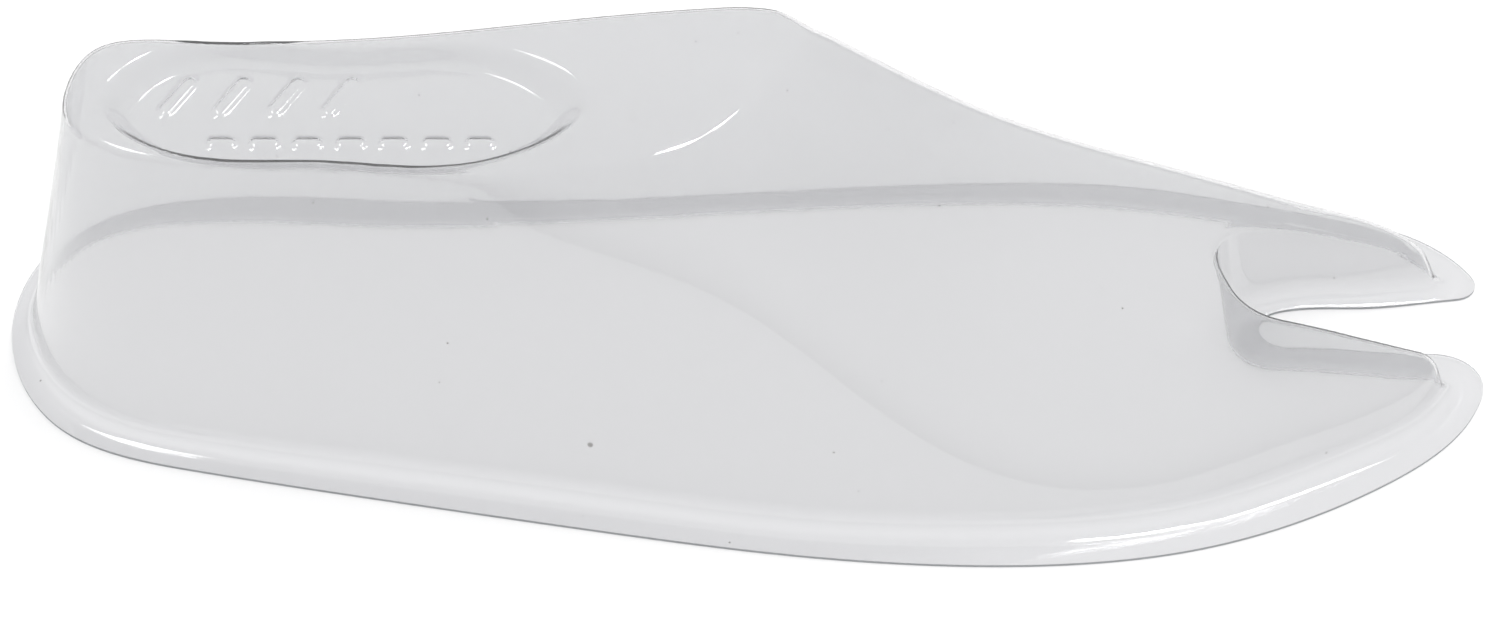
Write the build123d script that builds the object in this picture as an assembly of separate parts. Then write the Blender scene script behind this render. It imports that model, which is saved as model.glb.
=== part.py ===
from build123d import *
import math
import os

# Clear thermoformed foot form for a right thong sandal.
# Frame: +Z up, the flat flange rests on z = 0, +X runs heel to toes, +Y is the big-toe side.
# All lengths are millimetres, all angles degrees.

SHEET = 0.5            # thickness of the formed sheet
HEIGHT = 57.0          # flange underside to the flat ankle plane
SHOULDER_RADIUS = 5.0  # rounding between instep and wall
TOE_CORNER = 2.0       # rounding of the wall where a toe turns into the notch
FLANGE_CORNER = 4.0    # same corner on the die-cut edge

# Die-cut edge of the flange, from the heel along the little-toe side and back.
RIM = [(-119.9, 12), (-118.6, 0.5), (-110.2, -12.8), (-87, -21.9), (-55, -28.2), (-23, -34.1), (8, -39),
       (39, -41), (70, -37.8), (100, -25.2), (115.6, -11.5), (119.9, -1), (119.9, 18), (112.5, 26.8),
       (92, 34), (67, 39.6), (42, 41), (8, 39.3), (-25, 37.2), (-58, 37), (-92, 37.4), (-112, 29.5)]

# Foot of the wall, same walk round the part.
WALL = [(-117, 13), (-115.5, 2.5), (-108.1, -8.6), (-86, -17.6), (-54, -23.5), (-22, -29.1),
        (8.5, -33.9), (39, -35), (69, -31.3), (95.5, -20.2), (110.5, -9.5), (114.6, 1), (115, 15.5),
        (108.6, 23), (89.5, 29), (66, 33.4), (42, 35), (8.5, 33.7), (-25, 31.2), (-58, 30.1), (-92, 31),
        (-110, 25.5)]

# The same outline where the leaning wall reaches the ankle plane (carried on past the instep).
WALL_TOP = [(-104.6, 9), (-104.3, 2.5), (-99.5, -3.6), (-84, -8), (-54, -9.8), (-24, -15), (7, -19.8),
            (37, -21.5), (66, -18.5), (89, -8.5), (100, -1), (102.5, 4), (103, 10.5), (97, 14.5),
            (83.5, 18), (62, 22.5), (40, 25.2), (7, 26.4), (-26, 23.4), (-58, 19.1), (-89, 18.6),
            (-101.2, 16.5)]

# Instep surface: height of the form at four widths, for stations along the length.
INSTEP_Y = (-50, -10, 15, 50)
INSTEP = [(-130, (60, 90, 110, 120)),
          (-70, (34, 66, 88, 100)),
          (-30, (28, 56.5, 74, 84)),
          (0, (26, 50.3, 60.2, 60.5)),
          (20, (15, 36.8, 45, 44)),
          (38, (7, 24.8, 31.7, 31)),
          (56, (3, 19, 23.5, 21.2)),
          (78, (2, 16, 18.3, 12.6)),
          (100, (1.5, 10.8, 12.1, 7.8)),
          (130, (-3, 3, 4, 3))]

# Thong notch between the big toe and the others.
NOTCH_ROOT = 85.2       # centre of the round end, along X
NOTCH_NEAR = -0.8       # wall foot on the little-toe side at the root
NOTCH_FAR = 12.6        # wall foot on the big-toe side at the root
NOTCH_FLARE = 0.09      # outward drift of each side per mm towards the toes
NOTCH_DRAFT = 9.0
SLOT_ROOT = 87.3        # die-cut slot in the flange at the bottom of the notch
SLOT_NEAR = 4.5
SLOT_FAR = 12.0
SLOT_FLARE = 0.06

# Oval recess in the ankle plane, rim then floor.
RECESS_RIM = [(-99.5, 5), (-92, -3.8), (-64, -7.6), (-38, -7), (-24.3, 5.5), (-36, 16), (-64, 16.6),
              (-93, 15.2)]
RECESS_FLOOR = [(-94.5, 5), (-89.5, -1.6), (-64, -5.8), (-41, -5), (-30, 5.2), (-39.5, 14), (-64, 14.8),
                (-90, 13)]
RECESS_DEPTH = 3.8

# Plain raised pattern on the recess floor: four slanted bars over a row of short ones.
RELIEF = 0.5
BAR_WIDTH = 2.4


def shrink(points, distance):
    """Move every outline point inwards, square to its two neighbours."""
    moved = []
    for i, point in enumerate(points):
        before, after = Vector(*points[i - 1]), Vector(*points[(i + 1) % len(points)])
        inward = (after - before).normalized().rotate(Axis.Z, 90)
        moved.append(Vector(*point) + inward * distance)
    return moved


def closed_face(points, z=0):
    """Flat face inside a smooth closed outline."""
    return Pos(0, 0, z) * make_face(Spline(*points, periodic=True))


def u_face(root, near, far, flare):
    """Tongue-shaped face: round at the root, flaring out past the toes."""
    run = 135 - root
    near_out, far_out = (135, near - flare * run), (135, far + flare * run)
    nose = ThreePointArc((root, near), (root - (far - near) / 2, (near + far) / 2), (root, far))
    sides = [Line(near_out, (root, near)), Line((root, far), far_out), Line(far_out, near_out)]
    return make_face([nose, *sides])


def instep_solid():
    """Everything under the instep surface."""
    sections = []
    for x, heights in INSTEP:
        crest = [(x, y, z) for y, z in zip(INSTEP_Y, heights)]
        top = Spline(*crest)
        low_a, low_b = (x, INSTEP_Y[0], -12), (x, INSTEP_Y[-1], -12)
        sides = [Line(crest[-1], low_b), Line(low_b, low_a), Line(low_a, crest[0])]
        sections.append(make_face([top, *sides]))
    return loft(sections)


def notch_solid(inset):
    """Tapered U that splits the toes; `inset` makes it wider by the sheet."""
    mouth = u_face(NOTCH_ROOT, NOTCH_NEAR - inset, NOTCH_FAR + inset, NOTCH_FLARE)
    grow = 40 * math.tan(math.radians(NOTCH_DRAFT))
    top = u_face(NOTCH_ROOT, NOTCH_NEAR - inset - grow, NOTCH_FAR + inset + grow, NOTCH_FLARE)
    return loft([Pos(0, 0, -1) * mouth, Pos(0, 0, 40) * top], ruled=True)


def recess_solid(inset):
    """Oval pan sunk into the ankle plane."""
    rise = RECESS_DEPTH + 2
    floor, rim = shrink(RECESS_FLOOR, -inset), shrink(RECESS_RIM, -inset)
    slope = [r + (r - f) * (2 / RECESS_DEPTH) for f, r in zip(floor, rim)]
    base = HEIGHT - RECESS_DEPTH - inset
    return loft([closed_face(floor, base), closed_face(slope, base + rise)], ruled=True)


def relief_solid(inset):
    """Raised bars standing on the recess floor."""
    width, base = BAR_WIDTH - 2 * inset, HEIGHT - RECESS_DEPTH - inset
    tall = [Pos(-88 + 8.4 * i, 9.3) * Rot(0, 0, 61) * SlotOverall(9 - 2 * inset, width) for i in range(4)]
    short = [Pos(-80.5 + 6.6 * i, -0.6) * SlotOverall(5 - 2 * inset, width) for i in range(7)]
    return extrude(Pos(0, 0, base) * Sketch(tall + short), RELIEF)


def form(inset):
    """Solid foot form, shrunk by `inset` on every formed face."""
    height = HEIGHT - inset
    foot, top = closed_face(shrink(WALL, inset)), closed_face(shrink(WALL_TOP, inset), HEIGHT)
    body = loft([foot, top], ruled=True)
    body = split(body, Plane.XY.offset(height), keep=Keep.BOTTOM) if inset else body
    body -= recess_solid(inset)
    body += relief_solid(inset)
    body &= Pos(-0.5 * inset, 0, -0.95 * inset) * instep_solid()
    body -= notch_solid(inset)
    shoulders = [e for e in body.edges() if e.length > 100 and e.bounding_box().min.Z > 3
                 and e.bounding_box().max.Z > height - 1 and e.bounding_box().max.X > 100]
    body = fillet(shoulders, SHOULDER_RADIUS - inset)
    corners = [e for e in body.edges() if e.center().X > 105 and e.length < 12
               and e.bounding_box().size.Y < 3]
    return fillet(corners, TOE_CORNER - inset)


outer, inner = form(0), form(SHEET)

# Flange plate with its die-cut slot, then the two skins are closed with it into one thin solid.
plate = closed_face(RIM) - u_face(SLOT_ROOT, SLOT_NEAR, SLOT_FAR, SLOT_FLARE)
plate = fillet([v for v in plate.vertices() if v.X > 105], FLANGE_CORNER)
outer = split(outer, Plane.XY.offset(SHEET), keep=Keep.TOP)
outer_foot, inner_foot = outer.faces().sort_by(Axis.Z)[0], inner.faces().sort_by(Axis.Z)[0]
skin = [f for f in outer.faces() if f.center().Z > SHEET + 0.01]
skin += [f for f in inner.faces() if f.center().Z > 0.01]
skin += list((Pos(0, 0, SHEET) * plate - outer_foot).faces()) + list((plate - inner_foot).faces())
skin += [f for f in extrude(plate, SHEET).faces() if abs(f.normal_at().Z) < 0.5]
shell = Solid(Shell(skin))

shell.label = "foot_form_shell"
shell.color = Color(0.86, 0.87, 0.88, 0.35)
os.makedirs("parts", exist_ok=True)
export_step(shell, "parts/foot_form_shell.step")
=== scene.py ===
import math

import bpy
import numpy as np
import openvdb
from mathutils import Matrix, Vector


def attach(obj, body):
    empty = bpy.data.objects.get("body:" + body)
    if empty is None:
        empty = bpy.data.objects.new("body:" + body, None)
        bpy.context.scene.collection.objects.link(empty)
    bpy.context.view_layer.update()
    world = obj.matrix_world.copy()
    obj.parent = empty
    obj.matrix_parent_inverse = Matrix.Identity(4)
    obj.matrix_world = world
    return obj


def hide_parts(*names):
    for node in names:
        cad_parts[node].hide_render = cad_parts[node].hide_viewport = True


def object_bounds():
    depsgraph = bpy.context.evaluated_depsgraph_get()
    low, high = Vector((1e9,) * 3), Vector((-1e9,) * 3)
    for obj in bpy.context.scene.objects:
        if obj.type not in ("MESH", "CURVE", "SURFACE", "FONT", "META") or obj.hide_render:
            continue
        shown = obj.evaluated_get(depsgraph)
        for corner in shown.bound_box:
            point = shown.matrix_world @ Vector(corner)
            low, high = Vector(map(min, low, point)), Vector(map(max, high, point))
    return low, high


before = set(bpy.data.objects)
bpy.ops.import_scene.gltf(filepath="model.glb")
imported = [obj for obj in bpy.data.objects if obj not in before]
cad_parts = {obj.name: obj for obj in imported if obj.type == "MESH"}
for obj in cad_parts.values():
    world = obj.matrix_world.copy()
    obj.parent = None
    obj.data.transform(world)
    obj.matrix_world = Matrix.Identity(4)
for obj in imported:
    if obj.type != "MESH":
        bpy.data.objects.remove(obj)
cad_low, cad_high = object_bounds()
MM = 0.001

# Driving sizes, in millimetres. X runs heel to toes, +Y is the big-toe side, Z is up.
SHEET = 0.5                      # thickness of the clear sheet
HEIGHT = (cad_high.z - cad_low.z) / MM   # flange underside to ankle plane
VOXEL = 0.5                      # grid that the surface is drawn out on
GRID_X, GRID_Y = 124, 45         # reach of that grid each side of the middle
SHOULDER, TIP_SHOULDER = 4.5, 2.2        # rounding from instep to wall, and at the toe tips
EDGE, NOTCH_EDGE = 1.2, 1.1      # rounding round the ankle plane and along the notch
TOE_CORNER = 3.2                 # where the wall of a toe turns into the notch
SWEEP, NOTCH_SWEEP = 2.6, 1.5    # hollow sweep from flange into wall
NOTCH_LEANS = (0.12, 0.21)       # lean of the notch walls, little-toe side and big-toe side
RIM_CORNERS = (9.0, 4.5)         # die-cut corners beside the notch, in the same order
ANKLE_CREASES = (0.6, 7.1)       # softness of the crease at the ankle, little-toe side and big-toe side

# Plan outlines, from the heel along the little-toe side, round the toes and back.
RIM = [(-119.9, 12), (-118.6, 0.5), (-110.2, -12.8), (-87, -21.9), (-55, -28.2), (-23, -34.1), (8, -39),
       (39, -41), (70, -37.8), (100, -25.2), (115.6, -11.5), (119.9, -1), (119.9, 18), (112.5, 26.8),
       (92, 34), (67, 39.6), (42, 41), (8, 39.3), (-25, 37.2), (-58, 37), (-92, 37.4), (-112, 29.5)]
FOOT = [(-117, 13), (-115.5, 2.5), (-108.1, -8.6), (-86, -17.6), (-54, -23.5), (-22, -29.1), (8.5, -33.9),
        (39, -35), (69, -31.3), (95.5, -20.2), (110.5, -9.5), (114.6, 1), (115, 15.5), (108.6, 23),
        (89.5, 29), (66, 33.4), (42, 35), (8.5, 33.7), (-25, 31.2), (-58, 30.1), (-92, 31), (-110, 25.5)]
HEAD = [(-104.6, 9), (-104.3, 2.5), (-99.5, -3.6), (-84, -8), (-54, -9.8), (-24, -15), (7, -19.8),
        (37, -21.5), (66, -18.5), (89, -8.5), (100, -1), (102.5, 4), (103, 10.5), (97, 14.5),
        (83.5, 18), (62, 22.5), (40, 25.2), (7, 26.4), (-26, 23.4), (-58, 19.1), (-89, 18.6), (-101.2, 16.5)]

# The notch between the toes where it meets the flange, and the die-cut slot in its floor.
NOTCH = [(150, -6), (108.6, -3.1), (95, -1.8), (87, -1.1), (82, -0.2), (79.2, 2.4), (78.5, 6.5),
         (80.3, 10.2), (84.6, 12.3), (90.5, 13.6), (99, 14.1), (111, 15.2), (150, 18)]
SLOT = [(150, 0.5), (111.6, 2.6), (101, 3.3), (89.8, 4.2), (85.2, 4.9), (83.3, 7.5), (84.4, 10.6),
        (87.6, 12.1), (101, 12.8), (111.6, 14), (150, 17.5)]

# Oval recess in the ankle plane.
RECESS_RIM = [(-99.5, 5), (-92, -3.8), (-64, -7.6), (-38, -7), (-24.3, 5.5), (-36, 16), (-64, 16.6),
              (-93, 15.2)]
RECESS_FLOOR = [(-94.5, 5), (-89.5, -1.6), (-64, -5.8), (-41, -5), (-30, 5.2), (-39.5, 14), (-64, 14.8),
                (-90, 13)]
RECESS_DEPTH = 3.8

# Plain relief on its floor: four slanted bars over a row of seven short ones. Each row gives the number
# of bars, the middle of the first, the pitch, half of a bar's run in X and in Y, and its end radius.
RELIEF = 0.5
RELIEF_EDGE = 0.6
RELIEF_ROWS = [(4, (-88, 9.3), 8.4, (1.6, 2.9), 1.25), (7, (-80.5, -0.6), 6.6, (1.3, 0), 1.15)]

# Height of the instep at four widths, for stations along the length.
INSTEP_Y = (-50, -10, 15, 50)
INSTEP = [(-130, (60, 90, 110, 120)), (-70, (34, 66, 88, 100)), (-30, (28, 56.5, 74, 84)),
          (0, (26, 50.3, 60.2, 60.5)), (20, (15, 36.8, 45, 44)), (38, (7, 24.8, 31.7, 31)),
          (56, (3, 19, 23.5, 21.2)), (78, (2, 16, 18.3, 12.6)), (100, (1.5, 10.8, 12.1, 7.8)),
          (130, (-3, 3, 4, 3))]

# The plastic.
IOR = 1.53
CLARITY = 0.96                           # the rest is faintly milky
HAZE = (0.02, 0.07)                      # roughness where the sheet is clearest and haziest
FLANGE_TINT_PAINTED_LIGHTER = (0.94, 0.942, 0.95, 1)   # flange tint, painted lighter than the drawn walls to offset the shade the formed part throws on the floor under and beyond the flange
FORMED_COLOUR = (0.8, 0.802, 0.81, 1)    # light left after passing once through the drawn walls and instep
COLOUR_RISE = (1.0, 5.0)                 # heights between which the painted-lighter flange tint turns into the formed one
SHADOW_TINT = (0.862, 0.862, 0.866)      # light left after each face, for the shadow under the sheet
EDGE_TINT = (0.8, 0.8, 0.8)              # the same for the die-cut edge
TINT, TINT_COLOUR = 60, (0.5, 0.5, 0.515, 1)     # absorption inside the sheet, per metre
DUST_SCALE, DUST_RADIUS, DUST_FADE = 140, 0.018, 0.03    # specks, in cells of the dust pattern
DUST_COLOUR = (0.25, 0.24, 0.22, 1)
MARK, MARK_RADIUS = (-24.6, -25.9, 11.6), 0.45   # the one larger dark speck, on the near wall
MARK_EDGE = 0.024                        # where its edge falls in the dust pattern's cells

# The studio, in metres.
FLOOR_HALF, FLOOR_GAP = 3.0, 0.0002
SKY_STRENGTH = 1.06
SKY = [(0.0, 0.5), (0.35, 0.85), (0.75, 1.0)]    # brightness from the horizon up
LAMP_HEIGHT = 1.2
LAMPS = [("strip_left", (-0.47, 0.28), (0.16, 0.5), 2.0), ("strip_right", (0.27, 0.22), (0.16, 0.24), 2.8),
         ("strip_far_right", (0.38, 0.5), (0.12, 0.24), 1.4)]
VIEW_DISTANCE, VIEW_ELEVATION, VIEW_TARGET = 0.7, 48.5, (0.00035, -0.0057, 0.018)
LENS, FILM = 106.3, 36.0


def spline(knots, values, at, closed=False):
    """Cubic spline through values at knots; closed ones come round to the start."""
    knots, values = np.asarray(knots, float), np.asarray(values, float)
    count = len(values)
    gap = np.diff(knots)
    system, right = np.eye(count), np.zeros_like(values)
    for i in range(0 if closed else 1, count if closed else count - 1):
        before, after = gap[i - 1], gap[i]
        following = (i + 1) % count
        system[i] = 0
        system[i, i - 1], system[i, i], system[i, following] = before, 2 * (before + after), after
        right[i] = 6 * ((values[following] - values[i]) / after - (values[i] - values[i - 1]) / before)
    bend = np.linalg.solve(system, right)
    i = np.clip(np.searchsorted(knots, at, "right") - 1, 0, len(gap) - 1)
    j = (i + 1) % count
    step = gap[i]
    a, b = knots[i + 1] - at, at - knots[i]
    if values.ndim > 1:
        step, a, b = step[:, None], a[:, None], b[:, None]
    cubic = (bend[i] * a ** 3 + bend[j] * b ** 3) / (6 * step)
    return cubic + (values[i] / step - bend[i] * step / 6) * a + (values[j] / step - bend[j] * step / 6) * b


def outline(points, closed=True, count=420):
    """Smooth line through the points, as a closed polygon."""
    p = np.array(points, float)
    ring = np.vstack([p, p[:1]]) if closed else p
    knots = np.concatenate([[0], np.cumsum(np.linalg.norm(np.diff(ring, axis=0), axis=1))])
    return spline(knots, p, np.linspace(0, knots[-1], count, endpoint=not closed), closed)


def inside(polygon, x, y):
    """Distance to the polygon, positive inside it."""
    start, end = polygon, np.roll(polygon, -1, axis=0)
    nearest, crossings = np.full(x.shape, 1e9), np.zeros(x.shape, int)
    for (ax, ay), (bx, by) in zip(start, end):
        dx, dy = bx - ax, by - ay
        t = np.clip(((x - ax) * dx + (y - ay) * dy) / (dx * dx + dy * dy), 0, 1)
        nearest = np.minimum(nearest, (ax + t * dx - x) ** 2 + (ay + t * dy - y) ** 2)
        if dy:
            crossings += ((ay > y) != (by > y)) & (x < ax + (y - ay) * dx / dy)
    return np.where(crossings % 2 == 1, 1, -1) * np.sqrt(nearest)


def both(a, b, radius):
    """Inside both shapes, with the edge between them rounded."""
    u, v = np.maximum(radius - a, 0), np.maximum(radius - b, 0)
    return np.maximum(radius, 0) - np.hypot(u, v) + np.maximum(np.minimum(a, b) - radius, 0)


def either(a, b, radius):
    """Inside one shape or the other, with the corner between them filled."""
    return -both(-a, -b, radius)


def lower_of(a, b, width):
    """The lower of two heights, with the crease between them rounded."""
    h = np.clip(0.5 + 0.5 * (b - a) / width, 0, 1)
    return b * (1 - h) + a * h - width * h * (1 - h)


def ramp(value, low, high):
    """Smooth rise from 0 at low to 1 at high."""
    t = np.clip((value - low) / (high - low), 0, 1)
    return t * t * (3 - 2 * t)


def blend(ends, share):
    """From the first of two values to the second."""
    return ends[0] + (ends[1] - ends[0]) * share


def bar(x, y, ax, ay, bx, by, radius):
    """Distance inside a straight bar with round ends."""
    dx, dy = bx - ax, by - ay
    t = np.clip(((x - ax) * dx + (y - ay) * dy) / (dx * dx + dy * dy), 0, 1)
    return radius - np.hypot(x - ax - t * dx, y - ay - t * dy)


def instep_height(x, y):
    stations = np.array([s for s, _ in INSTEP], float)
    rows = np.array([h for _, h in INSTEP], float)
    along = spline(stations, rows, x[:, 0])
    return np.array([spline(INSTEP_Y, row, y[0]) for row in along])


def recess_depth(x, y):
    """How far the oval recess, with its relief, goes below the ankle plane."""
    rim, floor = inside(outline(RECESS_RIM), x, y), inside(outline(RECESS_FLOOR), x, y)
    depth = RECESS_DEPTH * ramp(rim / np.maximum(rim - floor, 0.5), -0.12, 1.12)
    relief = np.full(x.shape, -9.0)
    for count, (first, middle), pitch, (run, rise), radius in RELIEF_ROWS:
        for centre in first + pitch * np.arange(count):
            one = bar(x, y, centre - run, middle - rise, centre + run, middle + rise, radius)
            relief = np.maximum(relief, one)
    return depth - RELIEF * ramp(relief, -RELIEF_EDGE, RELIEF_EDGE)


def plan_fields():
    """Everything that depends only on the place in plan, on the voxel grid."""
    x, y = np.meshgrid(np.arange(-GRID_X, GRID_X + 0.01, VOXEL), np.arange(-GRID_Y, GRID_Y + 0.01, VOXEL),
                       indexing="ij")
    field = {"x": x, "y": y}
    field["foot"] = inside(outline(FOOT), x, y)
    field["head"] = inside(outline(HEAD), x, y)
    field["notch"] = -inside(outline(NOTCH, closed=False), x, y)
    slot = -inside(outline(SLOT, closed=False), x, y)
    field["trim"] = both(inside(outline(RIM), x, y), slot, blend(RIM_CORNERS, ramp(y, 4, 12)))

    field["instep"] = instep_height(x, y)
    crease = blend(ANKLE_CREASES, ramp(y, 10, 24))
    field["top"] = lower_of(field["instep"], HEIGHT - recess_depth(x, y), crease)
    slope_x, slope_y = np.gradient(field["top"], VOXEL)
    field["steepness"] = np.sqrt(1 + slope_x ** 2 + slope_y ** 2)
    return field


def distance(field, z):
    """Signed distance to the outer face of the sheet, positive in the material below it."""
    lean = (field["foot"] - field["head"]) / HEIGHT
    wall = (field["foot"] - z * lean) / np.sqrt(1 + lean ** 2)
    notch_lean = blend(NOTCH_LEANS, ramp(field["y"], 2, 10))
    notch = (field["notch"] - z * notch_lean) / np.sqrt(1 + notch_lean ** 2)
    cap = (field["top"] - z) / field["steepness"]
    by_notch = ramp(wall - notch, -3, 3)
    on_ankle = ramp(field["instep"] - HEIGHT, -4, 2)
    shoulder = blend((SHOULDER, TIP_SHOULDER), ramp(field["x"], 88, 108))
    radius = blend((blend((shoulder, EDGE), on_ankle), NOTCH_EDGE), by_notch)
    body = both(both(wall, notch, TOE_CORNER), cap, radius)
    return either(body, SHEET - z, blend((SWEEP, NOTCH_SWEEP), by_notch))


def sample(grid, points, origin):
    """Value of a regular grid at any points, with straight lines between its samples."""
    place = (points - origin) / VOXEL
    cell = np.clip(np.floor(place).astype(int), 0, np.array(grid.shape) - 2)
    part = place - cell
    total = 0
    for corner in np.ndindex(*(2,) * grid.ndim):
        weight = np.prod(np.where(corner, part, 1 - part), axis=1)
        total = total + weight * grid[tuple((cell + corner).T)]
    return total


def slope(grid, points, origin):
    """Direction in which a grid's value rises fastest, as unit vectors."""
    rise = [sample(grid, points + step, origin) - sample(grid, points - step, origin)
            for step in np.eye(points.shape[1]) * VOXEL * 0.8]
    rise = np.stack(rise, axis=1)
    return rise / np.maximum(np.linalg.norm(rise, axis=1, keepdims=True), 1e-9)


def border(quads):
    """Edges that belong to one face only, in the direction that face walks them."""
    sides = np.stack([quads, np.roll(quads, -1, axis=1)], axis=2).reshape(-1, 2)
    code = sides.min(axis=1) * 10 ** 7 + sides.max(axis=1)
    _, first, times = np.unique(code, return_index=True, return_counts=True)
    return sides[first[times == 1]]


def sheet_faces():
    """Upper face of the formed sheet: corners, faces, normals and border, trimmed to the die-cut edge."""
    field = plan_fields()
    levels = np.arange(-1.5, HEIGHT + 1.6, VOXEL)
    volume = np.stack([distance(field, z) for z in levels], axis=2).astype(np.float32)
    origin = np.array([field["x"][0, 0], field["y"][0, 0], levels[0]])
    grid = openvdb.FloatGrid(3.0)
    grid.copyFromArray(-np.clip(volume, -3, 3))
    points, quads = grid.convertToQuads(0.0)
    points = points * VOXEL + origin

    trim = sample(field["trim"], points[:, :2], origin[:2])
    keep = (trim[quads].mean(axis=1) > 0) & (points[quads][:, :, 2].mean(axis=1) > SHEET * 0.5)
    used, quads = np.unique(quads[keep], return_inverse=True)
    points, quads = points[used], quads.reshape(-1, 4)

    edge = border(quads)
    on_edge = np.unique(edge)
    for _ in range(3):
        spot = points[on_edge, :2]
        off = sample(field["trim"], spot, origin[:2])
        points[on_edge, :2] = spot - slope(field["trim"], spot, origin[:2]) * off[:, None]
    points[on_edge, 2] = SHEET
    normals = -slope(volume, points, origin)
    normals[on_edge] = (0, 0, 1)
    return points, quads, normals, edge


def build_shell():
    """The whole sheet: upper face, under face and the strip round the die-cut edge."""
    points, quads, normals, edge = sheet_faces()
    count, ends = len(points), len(edge)
    under = points - normals * SHEET
    along = points[edge[:, 1]] - points[edge[:, 0]]
    outward = np.stack([along[:, 1], -along[:, 0], 0 * along[:, 0]], axis=1)
    outward /= np.linalg.norm(outward, axis=1, keepdims=True)
    strip = np.vstack([points[edge[:, 1]], points[edge[:, 0]], under[edge[:, 0]], under[edge[:, 1]]])
    corner = 2 * count + np.arange(4 * ends).reshape(4, ends).T
    faces = np.vstack([quads, quads[:, ::-1] + count, corner])

    mesh = bpy.data.meshes.new("foot_form")
    mesh.from_pydata((np.vstack([points, under, strip]) * MM).tolist(), [], faces.tolist())
    mesh.materials.append(clear_sheet())
    mesh.materials.append(cut_edge())
    slots = np.zeros(len(faces), np.int32)
    slots[-ends:] = 1
    mesh.polygons.foreach_set("material_index", slots)
    mesh.polygons.foreach_set("use_smooth", np.ones(len(faces), bool))
    mesh.normals_split_custom_set_from_vertices(np.vstack([normals, -normals] + [outward] * 4).tolist())
    return add_object("foot_form", mesh)


def add_object(name, data):
    thing = bpy.data.objects.new(name, data)
    bpy.context.scene.collection.objects.link(thing)
    return thing


def node_material(name):
    material = bpy.data.materials.new(name)
    material.use_nodes = True
    nodes, links = material.node_tree.nodes, material.node_tree.links
    return material, nodes, links, nodes["Principled BSDF"]


def math_node(nodes, links, operation, first, second):
    """Math node fed by a socket, and by a second socket or a number."""
    node = nodes.new("ShaderNodeMath")
    node.operation = operation
    links.new(first, node.inputs[0])
    if isinstance(second, float):
        node.inputs[1].default_value = second
    else:
        links.new(second, node.inputs[1])
    return node.outputs[0]


def noise(nodes, links, where, scale, detail, rough):
    texture = nodes.new("ShaderNodeTexNoise")
    texture.inputs["Scale"].default_value = scale
    texture.inputs["Detail"].default_value = detail
    texture.inputs["Roughness"].default_value = rough
    links.new(where.outputs["Object"], texture.inputs["Vector"])
    return texture.outputs["Fac"]


def two_stop_ramp(nodes, links, value, places, colours):
    node = nodes.new("ShaderNodeValToRGB")
    for stop, place, colour in zip(node.color_ramp.elements, places, colours):
        stop.position, stop.color = place, colour
    links.new(value, node.inputs["Fac"])
    return node.outputs["Color"]


def let_light_through(nodes, links, shader, tint):
    """Light that falls on the floor passes straight through, a little weaker after each face."""
    path, clear = nodes.new("ShaderNodeLightPath"), nodes.new("ShaderNodeBsdfTransparent")
    clear.inputs["Color"].default_value = (*tint, 1)
    shadow_ray, diffuse_ray = path.outputs["Is Shadow Ray"], path.outputs["Is Diffuse Ray"]
    falling = math_node(nodes, links, "MAXIMUM", shadow_ray, diffuse_ray)
    mix = nodes.new("ShaderNodeMixShader")
    links.new(falling, mix.inputs["Fac"])
    links.new(shader.outputs["BSDF"], mix.inputs[1])
    links.new(clear.outputs["BSDF"], mix.inputs[2])
    links.new(mix.outputs["Shader"], nodes["Material Output"].inputs["Surface"])


def ripples(nodes, links, where):
    """Slow ripples left by the forming, and a very fine grain over them."""
    normal = None
    for scale, rough, height in ((55, 0.4, 0.06), (900, 0.5, 0.002)):
        bump = nodes.new("ShaderNodeBump")
        bump.inputs["Distance"].default_value = height * MM
        links.new(noise(nodes, links, where, scale, 2, rough), bump.inputs["Height"])
        if normal:
            links.new(normal, bump.inputs["Normal"])
        normal = bump.outputs["Normal"]
    return normal


def sheet_tint_and_painted_flange_light(nodes, links, where):
    """Sheet tint, with the flange painted lighter than where the sheet was drawn up, to offset the shade the
    formed part throws on the floor there.
    """
    split, rise = nodes.new("ShaderNodeSeparateXYZ"), nodes.new("ShaderNodeMapRange")
    links.new(where.outputs["Object"], split.inputs["Vector"])
    links.new(split.outputs["Z"], rise.inputs["Value"])
    for end, height in zip(("From Min", "From Max"), COLOUR_RISE):
        rise.inputs[end].default_value = height * MM
    return two_stop_ramp(nodes, links, rise.outputs["Result"], (0, 1), (FLANGE_TINT_PAINTED_LIGHTER, FORMED_COLOUR))


def specks(nodes, links, where):
    """Scattered dust, and the one larger mark; white elsewhere."""
    dust, mark = nodes.new("ShaderNodeTexVoronoi"), nodes.new("ShaderNodeVectorMath")
    dust.inputs["Scale"].default_value = DUST_SCALE
    mark.operation = "DISTANCE"
    mark.inputs[1].default_value = [v * MM for v in MARK]
    links.new(where.outputs["Object"], dust.inputs["Vector"])
    links.new(where.outputs["Object"], mark.inputs[0])
    to_mark = math_node(nodes, links, "MULTIPLY", mark.outputs["Value"], MARK_EDGE / (MARK_RADIUS * MM))
    nearest = math_node(nodes, links, "MINIMUM", dust.outputs["Distance"], to_mark)
    return two_stop_ramp(nodes, links, nearest, (DUST_RADIUS, DUST_FADE), (DUST_COLOUR, (1, 1, 1, 1)))


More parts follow.
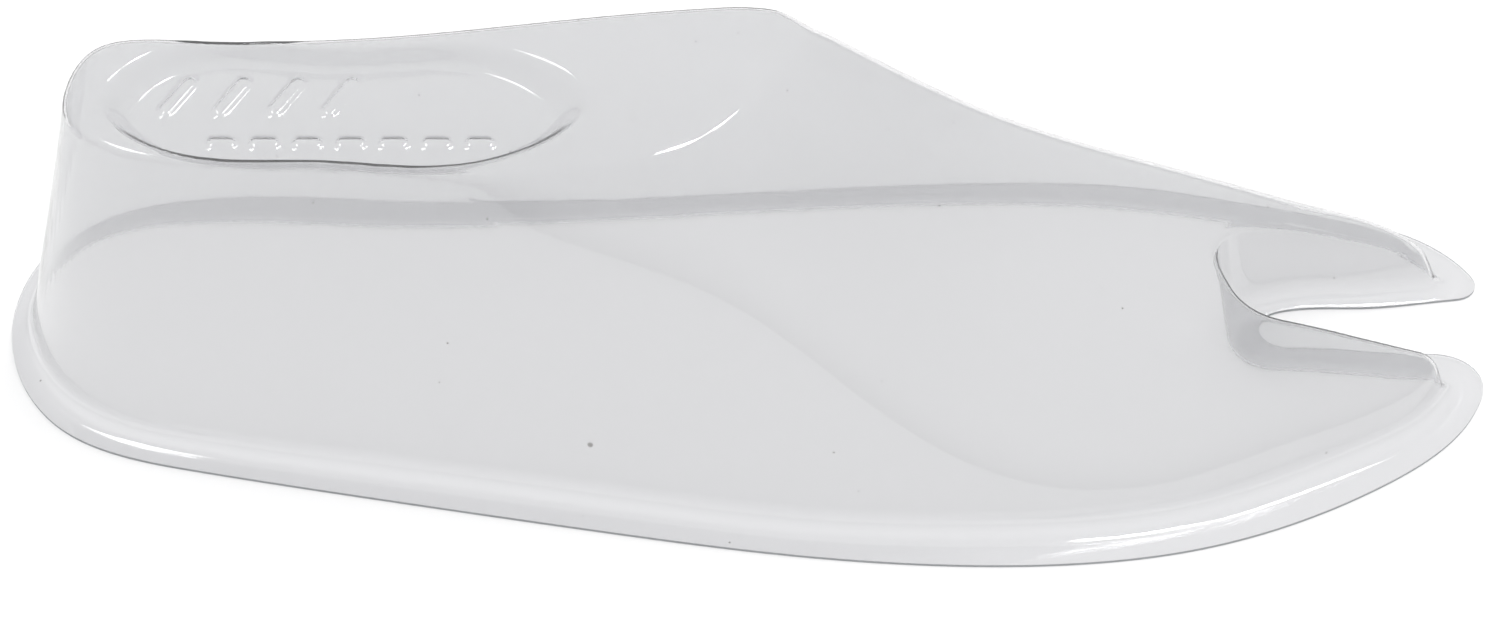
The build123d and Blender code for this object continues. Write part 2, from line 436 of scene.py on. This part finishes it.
def clear_sheet():
    """Glossy clear plastic with slow ripples, fine haze and a few dust specks."""
    material, nodes, links, shader = node_material("clear_sheet")
    shader.inputs["Transmission Weight"].default_value = CLARITY
    shader.inputs["IOR"].default_value = IOR
    where = nodes.new("ShaderNodeTexCoord")
    links.new(ripples(nodes, links, where), shader.inputs["Normal"])

    haze = nodes.new("ShaderNodeMapRange")
    haze.inputs["To Min"].default_value, haze.inputs["To Max"].default_value = HAZE
    links.new(noise(nodes, links, where, 120, 5, 0.6), haze.inputs["Value"])
    links.new(haze.outputs["Result"], shader.inputs["Roughness"])

    colour = nodes.new("ShaderNodeMix")
    colour.data_type, colour.blend_type = "RGBA", "MULTIPLY"
    colour.inputs["Factor"].default_value = 1.0
    # sheet tint with the flange painted lighter against shade, multiplied by the dust specks
    links.new(sheet_tint_and_painted_flange_light(nodes, links, where), colour.inputs["A"])
    links.new(specks(nodes, links, where), colour.inputs["B"])
    links.new(colour.outputs["Result"], shader.inputs["Base Color"])

    tint = nodes.new("ShaderNodeVolumeAbsorption")
    tint.inputs["Color"].default_value, tint.inputs["Density"].default_value = TINT_COLOUR, TINT
    links.new(tint.outputs["Volume"], nodes["Material Output"].inputs["Volume"])
    let_light_through(nodes, links, shader, SHADOW_TINT)
    return material


def cut_edge():
    """The die-cut edge, greyer and duller than the faces."""
    material, nodes, links, shader = node_material("cut_edge")
    shader.inputs["Base Color"].default_value = (0.5, 0.52, 0.54, 1)
    shader.inputs["Transmission Weight"].default_value = 0.6
    shader.inputs["IOR"].default_value = IOR
    shader.inputs["Roughness"].default_value = 0.4
    let_light_through(nodes, links, shader, EDGE_TINT)
    return material


def floor():
    mesh = bpy.data.meshes.new("floor")
    corners = [(x * FLOOR_HALF, y * FLOOR_HALF, -FLOOR_GAP) for x, y in ((-1, -1), (1, -1), (1, 1), (-1, 1))]
    mesh.from_pydata(corners, [], [(0, 1, 2, 3)])
    material, nodes, links, shader = node_material("floor_white")
    shader.inputs["Base Color"].default_value = (0.9, 0.9, 0.9, 1)
    shader.inputs["Roughness"].default_value = 0.9
    mesh.materials.append(material)
    add_object("floor", mesh)


def studio():
    """A sky that brightens upwards, and strip lamps hung level over the floor for the highlights."""
    world = bpy.data.worlds.new("studio")
    world.use_nodes = True
    nodes, links = world.node_tree.nodes, world.node_tree.links
    where, split = nodes.new("ShaderNodeTexCoord"), nodes.new("ShaderNodeSeparateXYZ")
    rise = nodes.new("ShaderNodeValToRGB")
    stops = rise.color_ramp.elements
    for place, level in SKY:
        stops.new(place).color = (level, level, level, 1)
    stops.remove(stops[0])
    stops.remove(stops[-1])
    links.new(where.outputs["Generated"], split.inputs["Vector"])
    links.new(split.outputs["Z"], rise.inputs["Fac"])
    links.new(rise.outputs["Color"], nodes["Background"].inputs["Color"])
    nodes["Background"].inputs["Strength"].default_value = SKY_STRENGTH
    bpy.context.scene.world = world
    bpy.context.scene.view_settings.view_transform = "Standard"

    for name, place, size, power in LAMPS:
        light = bpy.data.lights.new(name, "AREA")
        light.shape, light.energy = "RECTANGLE", power
        light.size, light.size_y = size
        add_object(name, light).location = (*place, LAMP_HEIGHT)


def camera():
    elevation, target = math.radians(VIEW_ELEVATION), Vector(VIEW_TARGET)
    data = bpy.data.cameras.new("photo_camera")
    data.lens, data.sensor_width = LENS, FILM
    data.clip_start = 0.01
    view = add_object("photo_camera", data)
    view.location = target + Vector((0, -math.cos(elevation), math.sin(elevation))) * VIEW_DISTANCE
    view.rotation_euler = (target - view.location).to_track_quat("-Z", "Y").to_euler()
    bpy.context.scene.camera = view


shell = build_shell()
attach(shell, "root")
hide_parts("foot_form_shell")
floor()
studio()
camera()
